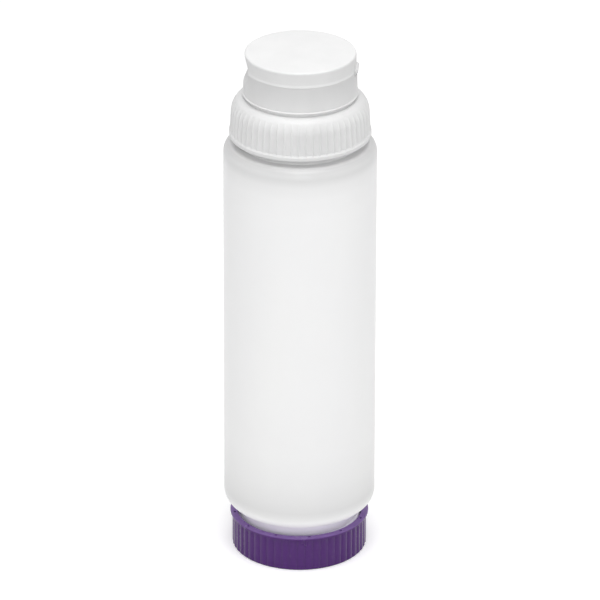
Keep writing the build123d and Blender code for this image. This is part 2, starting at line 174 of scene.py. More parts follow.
def add_piece(name, *shells, sharp_angle=SHARP_ANGLE, bevel=0.0):
    """A mesh object from shells of (vertices, faces) in millimetres, smooth but for sharp edges."""
    vertices, faces = [], []
    for shell_vertices, shell_faces in shells:
        faces += [[len(vertices) + i for i in face] for face in shell_faces]
        vertices += shell_vertices
    mesh = bpy.data.meshes.new(name)
    mesh.from_pydata([Vector(v) * MM for v in vertices], [], faces)
    work = bmesh.new()
    work.from_mesh(mesh)
    bmesh.ops.remove_doubles(work, verts=work.verts, dist=WELD * MM)
    bmesh.ops.dissolve_degenerate(work, edges=work.edges, dist=SLIVER * MM)
    bmesh.ops.recalc_face_normals(work, faces=work.faces)
    if bevel:
        solid = [e for e in work.edges if e.is_manifold]
        crisp = [e for e in solid if e.calc_face_angle() > radians(CRISP_ANGLE)]
        bmesh.ops.bevel(work, geom=crisp, offset=bevel * MM, segments=2, profile=0.5, affect="EDGES")
    work.to_mesh(mesh)
    work.free()
    mesh.shade_smooth()
    mesh.set_sharp_from_angle(angle=radians(sharp_angle))
    piece = bpy.data.objects.new(name, mesh)
    bpy.context.scene.collection.objects.link(piece)
    return piece


def turned(outline, angles, shape=None):
    """A shell: a closed outline of (r, z) points, turned round the Z axis.

    Points at r = 0 become poles, and shape(x, y, z, r, angle) may move each other point."""
    vertices, rings = [], []
    for r, z in outline:
        if r == 0:
            rings.append([len(vertices)] * len(angles))
            vertices.append((0, 0, z))
            continue
        ring = []
        for angle in angles:
            point = (r * cos(angle), r * sin(angle), z)
            ring.append(len(vertices))
            vertices.append(shape(*point, r, angle) if shape else point)
        rings.append(ring)
    faces = []
    for lower, upper in zip(rings, rings[1:] + rings[:1]):
        if lower[0] == lower[1] and upper[0] == upper[1]:
            continue
        for k in range(len(angles)):
            n = (k + 1) % len(angles)
            corners = [lower[k], lower[n], upper[n], upper[k]]
            faces.append([c for i, c in enumerate(corners) if c not in corners[:i]])
    return vertices, faces


def smooth_max(a, b, blend):
    """The larger of two values, with a rounded crease where they meet."""
    share = min(1.0, max(0.0, 0.5 + 0.5 * (b - a) / blend))
    return a + (b - a) * share + blend * share * (1 - share)


def ease(value, low, high):
    """0 below low, 1 above high, and a smooth step between them."""
    share = min(1.0, max(0.0, (value - low) / (high - low)))
    return share * share * (3 - 2 * share)


def turned_away(angle, centre):
    """Angle from a centre direction, from -pi to pi."""
    return (angle - centre + pi) % (2 * pi) - pi


def from_nearest(angle, first, pitch):
    """Angle from the nearest of the directions that repeat by a pitch."""
    return turned_away(angle - first, pitch * round((angle - first) / pitch))


# ================================================================ screw threads

THREAD_STEPS = 96  # in one turn
# Half of the ridge's section, from its crest: (millimetres from its middle, share of its height)
THREAD_FLANK = [(0.42, 1.0), (0.62, 0.86), (1.15, 0.0)]
THREAD_SUNK = 0.25  # how deep the ridge's root sits in its wall
THREAD_RUN_IN = 0.12  # turns over which the ridge rises at each end
THREAD_END_WIDTH = 0.35  # share of its width that the ridge has at its ends


def thread(name, root, crest, z_first, z_last):
    """A right-hand screw thread's ridge, from its root radius out or in to its crest radius."""
    turns = (z_last - z_first) / TURN_PITCH
    steps = int(turns * THREAD_STEPS)
    section = [(-up, height) for up, height in reversed(THREAD_FLANK)] + THREAD_FLANK
    sunk = THREAD_SUNK if crest > root else -THREAD_SUNK
    vertices, faces = [], []
    for k in range(steps + 1):
        angle = 2 * pi * k / THREAD_STEPS
        along = k / steps
        rise = ease(along * turns, 0.0, THREAD_RUN_IN) * ease((1 - along) * turns, 0.0, THREAD_RUN_IN)
        z = z_first + (z_last - z_first) * along
        spread = THREAD_END_WIDTH + (1 - THREAD_END_WIDTH) * rise
        for up, height in section:
            r = root - sunk + (crest - root + sunk) * height * rise
            vertices.append((r * cos(angle), r * sin(angle), z + up * spread))
    width = len(section)
    for k in range(steps):
        for i in range(width):
            j = (i + 1) % width
            a, b = k * width, (k + 1) * width
            faces.append([a + i, a + j, b + j, b + i])
    faces.append(list(range(width)))
    faces.append([steps * width + i for i in reversed(range(width))])
    return add_piece(name, (vertices, faces), sharp_angle=50)


# ================================================================ materials


def new_material(name):
    """A material, its nodes, its links and its shader."""
    material = bpy.data.materials.new(name)
    material.use_nodes = True
    nodes = material.node_tree.nodes
    return material, nodes, material.node_tree.links, nodes["Principled BSDF"]


def noise(nodes, links, scale, detail, stretch=(1, 1, 1)):
    """A noise texture in the object's own space; scale is in waves per metre."""
    place = nodes.new("ShaderNodeTexCoord")
    mapping = nodes.new("ShaderNodeMapping")
    mapping.inputs["Scale"].default_value = stretch
    texture = nodes.new("ShaderNodeTexNoise")
    texture.inputs["Scale"].default_value = scale
    texture.inputs["Detail"].default_value = detail
    links.new(place.outputs["Object"], mapping.inputs["Vector"])
    links.new(mapping.outputs["Vector"], texture.inputs["Vector"])
    return texture


# Most of a noise texture's values lie between these two
NOISE_LOW = 0.3
NOISE_HIGH = 0.7


def ramp(nodes, links, source, low, high):
    """A colour ramp between two colours, driven by a texture's value."""
    node = nodes.new("ShaderNodeValToRGB")
    ends = node.color_ramp.elements
    for element, position, colour in ((ends[0], NOISE_LOW, low), (ends[1], NOISE_HIGH, high)):
        element.position = position
        element.color = (*colour, 1)
    links.new(source.outputs["Fac"], node.inputs["Fac"])
    return node.outputs["Color"]


def varied(nodes, links, source, low, high):
    """A texture's value mapped to a range of numbers."""
    node = nodes.new("ShaderNodeMapRange")
    node.inputs["From Min"].default_value = NOISE_LOW
    node.inputs["From Max"].default_value = NOISE_HIGH
    node.inputs["To Min"].default_value = low
    node.inputs["To Max"].default_value = high
    links.new(source.outputs["Fac"], node.inputs["Value"])
    return node.outputs["Result"]


def bump(nodes, links, coarse, fine, coarse_depth, fine_depth):
    """Two layers of bump, each with its depth in metres."""
    first = nodes.new("ShaderNodeBump")
    first.inputs["Distance"].default_value = coarse_depth
    links.new(coarse.outputs["Fac"], first.inputs["Height"])
    second = nodes.new("ShaderNodeBump")
    second.inputs["Distance"].default_value = fine_depth
    links.new(fine.outputs["Fac"], second.inputs["Height"])
    links.new(first.outputs["Normal"], second.inputs["Normal"])
    return second.outputs["Normal"]


# Sockets of a Mix node that mixes colours
MIX_FACTOR, MIX_FIRST, MIX_SECOND, MIX_RESULT = 0, 6, 7, 2


def along_height(nodes, links, base, stops):
    """The base colour times a tint that changes with height, for painted light and shade; stops are
    (millimetres, tint).
    """
    place = nodes.new("ShaderNodeTexCoord")
    axes = nodes.new("ShaderNodeSeparateXYZ")
    height = nodes.new("ShaderNodeMapRange")
    height.inputs["From Max"].default_value = LID_TOP_Z * MM
    level = nodes.new("ShaderNodeValToRGB")
    elements = level.color_ramp.elements
    while len(elements) < len(stops):
        elements.new(1.0)
    for element, (z, tint) in zip(elements, stops):
        element.position = z / LID_TOP_Z
        element.color = (*tint, 1)
    product = nodes.new("ShaderNodeMix")
    product.data_type = "RGBA"
    product.blend_type = "MULTIPLY"
    product.inputs[MIX_FACTOR].default_value = 1.0
    links.new(place.outputs["Object"], axes.inputs["Vector"])
    links.new(axes.outputs["Z"], height.inputs["Value"])
    links.new(height.outputs["Result"], level.inputs["Fac"])
    links.new(base, product.inputs[MIX_FIRST])
    links.new(level.outputs["Color"], product.inputs[MIX_SECOND])
    return product.outputs[MIX_RESULT]


def scatter_light(shader, weight, reach):
    """Light that spreads under the surface, the same in all colours; the reach is in metres."""
    shader.inputs["Subsurface Weight"].default_value = weight
    shader.inputs["Subsurface Radius"].default_value = (1, 1, 1)
    shader.inputs["Subsurface Scale"].default_value = reach


def moulded_plastic(name, dark, light, roughness, scatter=0.0, painted_shading=None, gloss=0.5):
    """Injection-moulded plastic: faint flow mottling, fine grain and a satin gloss."""
    material, nodes, links, shader = new_material(name)
    flow = noise(nodes, links, scale=60, detail=4.0, stretch=(1, 1, 0.45))
    grain = noise(nodes, links, scale=5200, detail=2.0)
    colour = ramp(nodes, links, flow, dark, light)
    # Tints by height paint light and shade into the colour
    if painted_shading:
        colour = along_height(nodes, links, colour, painted_shading)
    links.new(colour, shader.inputs["Base Color"])
    links.new(varied(nodes, links, flow, *roughness), shader.inputs["Roughness"])
    relief = bump(nodes, links, flow, grain, coarse_depth=0.00003, fine_depth=0.000004)
    links.new(relief, shader.inputs["Normal"])
    shader.inputs["IOR"].default_value = 1.49
    shader.inputs["Specular IOR Level"].default_value = gloss
    if scatter:
        scatter_light(shader, scatter, reach=0.0015)
    return material


def milky_plastic(name, painted_shading):
    """Blow-moulded polyethylene: clouded, nearly opaque, with a little light under its surface."""
    material, nodes, links, shader = new_material(name)
    cloud = noise(nodes, links, scale=26, detail=3.0, stretch=(1, 1, 0.35))
    grain = noise(nodes, links, scale=3800, detail=2.0)
    pale = ramp(nodes, links, cloud, (0.93, 0.93, 0.935), (0.96, 0.96, 0.955))
    # The tints by height paint light and shade into the colour
    links.new(along_height(nodes, links, pale, painted_shading), shader.inputs["Base Color"])
    links.new(varied(nodes, links, cloud, 0.30, 0.38), shader.inputs["Roughness"])
    relief = bump(nodes, links, cloud, grain, coarse_depth=0.0002, fine_depth=0.000005)
    links.new(relief, shader.inputs["Normal"])
    shader.inputs["IOR"].default_value = 1.5
    scatter_light(shader, weight=0.25, reach=0.0005)
    return material


def grey_stops(height, *steps):
    """Grey tint stops from steps of (millimetres above a height, level)."""
    return [(height + above, (level, level, level)) for above, level in steps]


# Painted light and shade on the body: a painted lilac reflection of the purple cap on the neck inside
# it, painted shade greying the wall towards the capped ends, painted bright and dark rings on the
# rounds, and painted shadow under the white cap.
PAINTED_PURPLE_REFLECTION = (1.0, 0.97, 1.06)
BODY_PAINTED_SHADING = [
    (0, PAINTED_PURPLE_REFLECTION),
    (LOWER_SHOULDER_Z - 1.7, PAINTED_PURPLE_REFLECTION),
    (LOWER_SHOULDER_Z - 0.2, (1.04, 1.02, 1.06)),
]
# Painted shade, and a painted bright band, on the lower round
BODY_PAINTED_SHADING += grey_stops(
    LOWER_SHOULDER_Z,
    (4.8, 1.03), (6.8, 0.86), (9.3, 0.81), (14.3, 0.86), (23.3, 0.92), (38.3, 0.97), (68.3, 1.0),
)
# Painted shade, painted highlight rings, and the painted shadow under the white cap, on the upper round
# and neck
BODY_PAINTED_SHADING += grey_stops(
    UPPER_SHOULDER_Z,
    (-24.4, 1.0), (-14.4, 0.97), (-8.4, 0.91), (-4.9, 0.80), (-2.4, 0.72), (-1.2, 0.61), (-0.6, 0.67),
    (-0.2, 0.89), (0, 1.04), (0.3, 0.98), (1.4, 0.74), (2.6, 0.74), (4.1, 0.98),
)
# Painted shading on the white cap: a painted shadow greys the turret towards the lid, and a painted
# highlight makes the lid's top palest
CAP_PAINTED_SHADING = grey_stops(0, (0, 1.0), (TURRET_LIP_Z + 1.5, 1.0))
CAP_PAINTED_SHADING += grey_stops(PARTING_Z, (-5, 0.93), (-0.6, 0.89), (0, 1.0))
CAP_PAINTED_SHADING += grey_stops(LID_TOP_Z, (-0.9, 0.98), (-0.2, 1.04))
# The purple is deep on the ribbed wall, and the flange's top is painted pale, as painted light falling
# on it
DEEP_PURPLE = (0.213, 0.0456, 0.283)
RIM_PAINTED_LIGHT = [(0, DEEP_PURPLE), (REFILL_HEIGHT - 0.6, DEEP_PURPLE), (REFILL_HEIGHT - 0.2, (1, 1, 1))]

WHITE = moulded_plastic(
    "white_polypropylene",
    dark=(0.72, 0.72, 0.72),
    light=(0.76, 0.76, 0.76),
    roughness=(0.42, 0.52),
    scatter=0.15,
    painted_shading=CAP_PAINTED_SHADING,
)
# Its colour is the flange top's painted light; the ribbed wall is tinted down to the cap's deep purple
PURPLE = moulded_plastic(
    "purple_polypropylene",
    dark=(0.30, 0.175, 0.49),
    light=(0.32, 0.185, 0.52),
    roughness=(0.20, 0.28),
    painted_shading=RIM_PAINTED_LIGHT,
    gloss=0.35,
)
SEAL = moulded_plastic(
    "seal_foam", dark=(0.74, 0.74, 0.72), light=(0.80, 0.80, 0.78), roughness=(0.7, 0.85)
)
SILICONE = moulded_plastic(
    "valve_silicone",
    dark=(0.70, 0.71, 0.71),
    light=(0.76, 0.77, 0.77),
    roughness=(0.4, 0.55),
    scatter=0.6,
)
BOTTLE = milky_plastic("translucent_body", BODY_PAINTED_SHADING)


def finish_piece(piece, material, body, slot, *nodes):
    """Gives a piece its material and body, and hides the CAD nodes that it stands for; the slot is not
    used.
    """
    piece.data.materials.append(material)
    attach(piece, body)
    if nodes:
        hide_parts(*nodes)


# ================================================================ bottle

BODY_WALL = 1.3
LOWER_ROUND = 7.0
UPPER_ROUND = 5.0
RIM_ROUND = 0.5
BORE_ROUND = 0.3
THROAT_ROUND = 0.8


def make_bottle():
    """The tube, with a threaded neck at each end."""
    inner = BODY_RADIUS - BODY_WALL
    floor_z = LOWER_SHOULDER_Z + BODY_WALL
    ceiling_z = UPPER_SHOULDER_Z - BODY_WALL
    corners = [
        (NECK_BORE, LOWER_RIM_Z, BORE_ROUND),
        (NECK_RADIUS, LOWER_RIM_Z, RIM_ROUND),
        (NECK_RADIUS, LOWER_SHOULDER_Z, RIM_ROUND),
        (BODY_RADIUS, LOWER_SHOULDER_Z, LOWER_ROUND),
        (BODY_RADIUS, UPPER_SHOULDER_Z, UPPER_ROUND),
        (NECK_RADIUS, UPPER_SHOULDER_Z, RIM_ROUND),
        (NECK_RADIUS, UPPER_RIM_Z, RIM_ROUND),
        (NECK_BORE, UPPER_RIM_Z, BORE_ROUND),
        (NECK_BORE, ceiling_z, THROAT_ROUND),
        (inner, ceiling_z, UPPER_ROUND - BODY_WALL),
        (inner, floor_z, LOWER_ROUND - BODY_WALL),
        (NECK_BORE, floor_z, THROAT_ROUND),
    ]
    outline = with_steps(rounded(corners, 8), longest=12)
    piece = add_piece("bottle_shell", turned(outline, even_angles(288)))
    finish_piece(piece, BOTTLE, "bottle", "translucent_body", "bottle_body")


THREAD_HEIGHT = 0.95
THREAD_FIRST = 2.6  # from the rim to the middle of the first turn
THREAD_LAST = 12.4


def make_threads():
    """The ridges on both necks, and the ones in both caps that mesh with them."""
    upper_first = UPPER_RIM_Z - THREAD_LAST
    lower_first = LOWER_RIM_Z + THREAD_FIRST
    length = THREAD_LAST - THREAD_FIRST
    crest = NECK_RADIUS + THREAD_HEIGHT
    for name, first in (("upper_neck_thread", upper_first), ("lower_neck_thread", lower_first)):
        ridge = thread(name, NECK_RADIUS, crest, first, first + length)
        finish_piece(ridge, BOTTLE, "bottle", "translucent_body")
    # A cap's ridge lies half a pitch from the neck's and makes two turns
    crest = CAP_BORE - THREAD_HEIGHT
    for name, first, material, body, slot in (
        ("dispensing_cap_thread", upper_first + TURN_PITCH / 2, WHITE, "dispensing_cap", "white_cap"),
        ("refill_cap_thread", lower_first - TURN_PITCH / 2, PURPLE, "refill_cap", "purple_cap"),
    ):
        ridge = thread(name, CAP_BORE, crest, first, first + 2 * TURN_PITCH)
        finish_piece(ridge, material, body, slot)


# ================================================================ gaskets

GASKET_BORE = NECK_BORE - 0.3
GASKET_ROUND = 0.2


def make_gaskets():
    """The flat ring under each rim."""
    for name, foot, body, node in (
        ("refill_seal_ring", GASKET_FOOT_Z, "refill_seal", "refill_gasket"),
        ("dispensing_seal_ring", UPPER_RIM_Z, "dispensing_seal", "dispensing_gasket"),
    ):
        top = foot + (LAND_Z - UPPER_RIM_Z)
        places = ((GASKET_BORE, foot), (GASKET_RADIUS, foot), (GASKET_RADIUS, top), (GASKET_BORE, top))
        corners = [(r, z, GASKET_ROUND) for r, z in places]
        piece = add_piece(name, turned(rounded(corners, 3), even_angles(160)))
        finish_piece(piece, SEAL, body, "gasket", node)


# ================================================================ refill cap

REFILL_SKIRT = 31.2
REFILL_FLOOR = GASKET_FOOT_Z
FOOT_RECESS = 27.6
FOOT_RECESS_DEPTH = 0.6
FOOT_CHAMFER = 0.7
FLANGE_FOOT_Z = REFILL_HEIGHT - 1.2
RIB_COUNT = 52
RIB_PITCH = 2 * pi / RIB_COUNT
RIB_FIRST = radians(4.5)
RIB_HEIGHT = 0.5
NOTCH_COUNT = 12
NOTCH_PITCH = 2 * pi / NOTCH_COUNT
NOTCH_RADIUS = 30.4
NOTCH_FIRST = radians(12)
NOTCH_HALF_WIDTH = 0.6
NOTCH_HALF_LENGTH = 0.45
NOTCH_DEPTH = 0.8
NOTCH_SLOPE = 0.03  # how far each way from its edge a notch's long side leans
NOTCH_END_SLOPE = 0.0006  # the same for its ends, in radians


def rib_angles():
    """Angles across each rib, closer together towards the valleys."""
    half_steps = 6
    shares = [0.5 * sin(pi / 2 * k / half_steps) for k in range(-half_steps, half_steps)]
    places = [i + share for i in range(RIB_COUNT) for share in shares]
    return [(RIB_FIRST + RIB_PITCH * place) % (2 * pi) for place in places]


def rib_radius(angle):
    """Radius of the ribbed skirt: arcs from valley to valley over each rib's crest."""
    away = from_nearest(angle, RIB_FIRST, RIB_PITCH)
    half_width = REFILL_SKIRT * sin(RIB_PITCH / 2)
    rise = REFILL_SKIRT - (REFILL_SKIRT - RIB_HEIGHT) * cos(RIB_PITCH / 2)
    rounding = (half_width**2 + rise**2) / (2 * rise)
    centre = REFILL_SKIRT - rounding
    return centre * cos(away) + sqrt(rounding**2 - (centre * sin(away)) ** 2)


def refill_shape(x, y, z, r, angle):
    """Sinks the valleys between the ribs, and the notches in the flange's top."""
    on_skirt = REFILL_SKIRT - FOOT_CHAMFER - 0.05 < r < REFILL_SKIRT + TOUCH
    if on_skirt and z < FLANGE_FOOT_Z + TOUCH:
        r = min(r, rib_radius(angle))
        return r * cos(angle), r * sin(angle), z
    if abs(z - REFILL_HEIGHT) < TOUCH and abs(r - NOTCH_RADIUS) < NOTCH_HALF_LENGTH:
        if abs(from_nearest(angle, NOTCH_FIRST, NOTCH_PITCH)) * NOTCH_RADIUS < NOTCH_HALF_WIDTH:
            return x, y, z - NOTCH_DEPTH
    return x, y, z


def make_refill_cap():
    """The ribbed purple cap, with a notched flange round its mouth."""
    notch_outer = NOTCH_RADIUS + NOTCH_HALF_LENGTH
    notch_inner = NOTCH_RADIUS - NOTCH_HALF_LENGTH
    corners = [
        (0, FOOT_RECESS_DEPTH, 0),
        (FOOT_RECESS, FOOT_RECESS_DEPTH, 0.3),
        (FOOT_RECESS + FOOT_RECESS_DEPTH, 0, 0.2),
        (REFILL_SKIRT - FOOT_CHAMFER, 0, 0.2),
        (REFILL_SKIRT, FOOT_CHAMFER, 0.25),
        (REFILL_SKIRT, FLANGE_FOOT_Z, 0.12),
        (FLANGE_RADIUS, FLANGE_FOOT_Z, 0.3),
        (FLANGE_RADIUS, REFILL_HEIGHT, 0.35),
        (notch_outer + NOTCH_SLOPE, REFILL_HEIGHT, 0),
        (notch_outer - NOTCH_SLOPE, REFILL_HEIGHT, 0),
        (notch_inner + NOTCH_SLOPE, REFILL_HEIGHT, 0),
        (notch_inner - NOTCH_SLOPE, REFILL_HEIGHT, 0),
        (CAP_BORE, REFILL_HEIGHT, 0.35),
        (CAP_BORE, REFILL_FLOOR, 0.3),
        (0, REFILL_FLOOR, 0),
    ]
    outline = with_steps(rounded(corners, 4), longest=2.5, z_low=0.05, z_high=FLANGE_FOOT_Z)
    angles = rib_angles()
    half = NOTCH_HALF_WIDTH / NOTCH_RADIUS
    for i in range(NOTCH_COUNT):
        for end in (-half, half):
            for lean in (-NOTCH_END_SLOPE, NOTCH_END_SLOPE):
                angles.append((NOTCH_FIRST + i * NOTCH_PITCH + end + lean) % (2 * pi))
    piece = add_piece("refill_cap_shell", turned(outline, sorted(angles), refill_shape))
    finish_piece(piece, PURPLE, "refill_cap", "purple_cap", "refill_cap")


# ================================================================ thumb scoop and hinge pocket

LID_SIDE = 25.5
LID_INNER = 23.8
TURRET_BORE = 24.0
SCOOP_DEPTH = 2.5
SCOOP_HALF_HEIGHT = 6.6
SCOOP_RADIUS = (SCOOP_HALF_HEIGHT**2 + SCOOP_DEPTH**2) / (2 * SCOOP_DEPTH)
SCOOP_FLOOR_Y = -(LID_SIDE - SCOOP_DEPTH)
SCOOP_BACKING = 1.3
SCOOP_HALF_ANGLE = radians(33)
BACKING_Y = SCOOP_FLOOR_Y + SCOOP_BACKING
BACKING_FOOT_Z = PARTING_Z - SCOOP_HALF_HEIGHT - SCOOP_BACKING
BACKING_EDGE = 0.2  # width of the rounded crease at the wall's side
SCOOP_EDGE = 0.35  # the same at the scoop's rim
POCKET_HALF_WIDTH = 7.1
POCKET_HALF_ANGLE = asin(POCKET_HALF_WIDTH / LID_SIDE)
POCKET_TOP_Z = PARTING_Z + 3.0
POCKET_FOOT_Z = PARTING_Z - 2.6
POCKET_EDGE = 0.12
EDGE_SHARES = (-1.5, -1, -0.5, 0, 0.5, 1, 1.5)  # where points lie across the pocket's edge


def turret_angles():
    """Angles of a turned piece, close together round the scoop and at the pocket's sides."""
    scoop_steps, other_steps = 150, 170
    start = -pi / 2 - SCOOP_HALF_ANGLE
    stop = -pi / 2 + SCOOP_HALF_ANGLE
    angles = [start + (stop - start) * k / scoop_steps for k in range(scoop_steps + 1)]
    rest = 2 * pi - 2 * SCOOP_HALF_ANGLE
    angles += [stop + rest * k / other_steps for k in range(1, other_steps)]
    for share in EDGE_SHARES:
        away = POCKET_HALF_ANGLE + share * POCKET_EDGE / LID_SIDE
        angles += [pi / 2 - away, pi / 2 + away]
    return sorted(a % (2 * pi) for a in angles)


def scooped(y, z):
    """y of an outer point, pushed back where the scoop cuts it."""
    rise = z - PARTING_Z
    clear_of_scoop = y > SCOOP_FLOOR_Y + 5 or abs(rise) > SCOOP_RADIUS - 0.5
    if clear_of_scoop:
        return y
    surface = SCOOP_FLOOR_Y - SCOOP_RADIUS + sqrt(SCOOP_RADIUS**2 - rise**2)
    return smooth_max(y, surface, SCOOP_EDGE)


def pocketed(y, z, angle):
    """y of an outer point, pushed in where the hinge's pocket cuts it."""
    if y < HINGE_FLAT_Y - 1:
        return y
    past_side = (abs(turned_away(angle, pi / 2)) - POCKET_HALF_ANGLE) * LID_SIDE
    inside = 1 - ease(past_side, -POCKET_EDGE, POCKET_EDGE)
    inside *= 1 - ease(z - POCKET_TOP_Z, -POCKET_EDGE, POCKET_EDGE)
    inside *= ease(z - POCKET_FOOT_Z, -POCKET_EDGE, POCKET_EDGE)
    return y + (min(y, HINGE_FLAT_Y) - y) * inside


def across_edge(r, z):
    """Corners of a straight side at r where the pocket's edge crosses it, downwards."""
    return [(r, z + share * POCKET_EDGE, 0) for share in (1.5, 0.5, -0.5, -1.5)]


# ================================================================ flip lid

SPOUT_RADIUS = 10.6
LID_CEILING_Z = LID_TOP_Z - 1.4
DECK_TOP_Z = PARTING_Z + 0.8
DECK_FOOT_Z = DECK_TOP_Z - 1.6
SIDE_STEP = 0.3  # longest step down a side that the scoop cuts


def lid_shape(x, y, z, r, angle):
    """Cuts the scoop and the pocket into the lid's side, and keeps a wall behind the scoop."""
    if r > LID_INNER + 0.05:
        y = pocketed(scooped(y, z), z, angle)
    elif r > LID_INNER - 1.5:
        y = smooth_max(y, BACKING_Y, BACKING_EDGE)
    return x, y, z


def make_lid():
    """The flip lid, with a slight lip at its foot, a sealing ring and a pad that shuts the valve."""
    seal_in = SPOUT_RADIUS + 0.4
    seal_out = seal_in + 1.0
    seal_foot = DECK_TOP_Z + 1.6
    pad_radius = 4.8
    pad_foot = LID_CEILING_Z - 3.4
    lip = LID_SIDE + 0.35
    corners = [(0, LID_TOP_Z, 0), (LID_SIDE - 0.2, LID_TOP_Z, 0.9)]
    corners += across_edge(LID_SIDE - 0.1, POCKET_TOP_Z)
    corners += [
        (LID_SIDE, PARTING_Z + 1.5, 0),
        (lip, PARTING_Z + 0.45, 0.2),
        (lip, PARTING_Z, 0.15),
        (LID_INNER, PARTING_Z, 0.1),
        (LID_INNER, LID_CEILING_Z, 0.6),
        (seal_out, LID_CEILING_Z, 0.2),
        (seal_out, seal_foot, 0.3),
        (seal_in, seal_foot, 0.3),
        (seal_in, LID_CEILING_Z, 0.2),
        (pad_radius, LID_CEILING_Z, 0.3),
        (pad_radius, pad_foot, 1.0),
        (0, pad_foot, 0),
    ]
    side_foot, side_top = PARTING_Z + 0.02, LID_TOP_Z - 0.02
    outline = with_steps(rounded(corners, 4), SIDE_STEP, side_foot, side_top, LID_INNER - 1)
    piece = add_piece("flip_lid_shell", turned(outline, turret_angles(), lid_shape))
    finish_piece(piece, WHITE, "flip_lid", "white_cap", "flip_lid")


# ================================================================ dispensing cap

FLUTE_COUNT = 60
FLUTE_PITCH = 2 * pi / FLUTE_COUNT
FLUTE_FIRST = radians(4.65)
FLUTE_DEPTH = 0.62
FLUTE_FADE = radians(48)
FLUTE_STEP = 1.2  # longest step down the fluted side
SKIRT_TOP = 31.5
FLUTE_FOOT = 32.0
DOME_ROUND = 8.0
DOME_CENTRE = SKIRT_TOP - DOME_ROUND
DOME_BASE_Z = TURRET_LIP_Z - 1.4 - DOME_ROUND
BAND_TOP_Z = SKIRT_FOOT_Z + 2.3
BAND_STEP = 0.7
TURRET_NECK = 25.5
SEAM = TURRET_NECK - 0.9  # radius inside the wall, where the two shells of the cap overlap
UPSTAND = 23.2
UPSTAND_INNER = UPSTAND - 1.3
UPSTAND_TOP_Z = PARTING_Z + 2.2
UPSTAND_GAP_LIMIT = radians(60)  # the scoop is well within this angle
UPSTAND_BEAD = 0.3
UPSTAND_BEAD_Z = PARTING_Z + 1.4
SPOUT_BORE = 8.9
SPOUT_TOP_Z = PARTING_Z + 4.4
BOSS_BORE = VALVE_FLANGE_RADIUS + 0.35
BOSS_RADIUS = BOSS_BORE + 1.6
BOSS_FOOT_Z = RETAINER_FOOT_Z - 0.2
DECK_FRONT_Y = BACKING_Y + 0.4


def flute_angles():
    """Angles across each flute, closer together towards the crests beside it."""
    shares = (-0.9, -0.76, -0.6, -0.4, 0, 0.4, 0.6, 0.76, 0.9, 1)
    places = [i + share / 2 for i in range(FLUTE_COUNT) for share in shares]
    return sorted((FLUTE_FIRST + FLUTE_PITCH * place) % (2 * pi) for place in places)


def flute_bed(lean):
    """Depth of a flute's bed: full on the skirt, and gone where it runs out on the dome.

    The bed is an arc that starts upright under the dome's foot and meets the dome at the fade angle."""
    if lean >= FLUTE_FADE:
        return 0.0
    end_r, end_z = DOME_ROUND * cos(FLUTE_FADE), DOME_ROUND * sin(FLUTE_FADE)
    start = DOME_ROUND - FLUTE_DEPTH
    radius = ((start - end_r) ** 2 + end_z**2) / (2 * (start - end_r))
    back = radius - start
    return DOME_ROUND + back * cos(lean) - sqrt(radius**2 - (back * sin(lean)) ** 2)


def skirt_shape(x, y, z, r, angle):
    """Sinks wide flutes between narrow crests, from the plain band to where they fade on the dome."""
    in_bore = r < CAP_BORE + 0.5 and z < DOME_BASE_Z
    on_band = z < BAND_TOP_Z - 0.04
    if in_bore or on_band or r < DOME_CENTRE + 1:
        return x, y, z
    to_crest = min(1.0, abs(from_nearest(angle, FLUTE_FIRST, FLUTE_PITCH)) / (FLUTE_PITCH / 2))
    lean = atan2(max(0.0, z - DOME_BASE_Z), r - DOME_CENTRE)
    depth = flute_bed(lean) * (1 - to_crest**3)
    sunk = r - depth * cos(lean)
    return sunk * cos(angle), sunk * sin(angle), z - depth * sin(lean)


def turret_shape(x, y, z, r, angle):
    """Cuts the scoop and the pocket into the turret, and keeps a wall behind the scoop."""
    if z > PARTING_Z + 0.02 and r > UPSTAND_INNER - 0.4:
        # The upstand stops where the wall behind the scoop leaves no room for it
        lean = abs(turned_away(angle, -pi / 2))
        if lean < UPSTAND_GAP_LIMIT:
            room = -DECK_FRONT_Y / cos(lean) - UPSTAND_INNER
            z = min(z, DECK_TOP_Z + max(0.0, z - DECK_TOP_Z) * ease(room, 0.1, 0.4))
            y = max(y, DECK_FRONT_Y)
        return x, y, z
    if r > TURRET_NECK - 0.4:
        return x, pocketed(scooped(y, z), z, angle), z
    if BACKING_FOOT_Z < z and r > -BACKING_Y:
        return x, smooth_max(y, BACKING_Y, BACKING_EDGE), z
    return x, y, z


def skirt_shell():
    """The fluted skirt and its dome, up to the turret."""
    dome_edge = sqrt(DOME_ROUND**2 - (TURRET_NECK - DOME_CENTRE) ** 2)
    dome_last = degrees(atan2(dome_edge, TURRET_NECK - DOME_CENTRE))
    corners = [
        (SEAM, LAND_Z, 0),
        (CAP_BORE, LAND_Z, 0.3),
        (CAP_BORE, SKIRT_FOOT_Z, 0.35),
        (BAND_RADIUS, SKIRT_FOOT_Z, 0.25),
        (BAND_RADIUS, BAND_TOP_Z - BAND_STEP, 0.3),
        (FLUTE_FOOT, BAND_TOP_Z, 0.05),
    ]
    corners += arc(DOME_CENTRE, DOME_BASE_Z, DOME_ROUND, 0, dome_last, 26)
    corners.append((SEAM, DOME_BASE_Z + dome_edge - 0.6, 0))
    side_foot, side_top = BAND_TOP_Z, DOME_BASE_Z
    outline = with_steps(rounded(corners), FLUTE_STEP, side_foot, side_top, CAP_BORE + 1)
    return turned(outline, flute_angles(), skirt_shape)


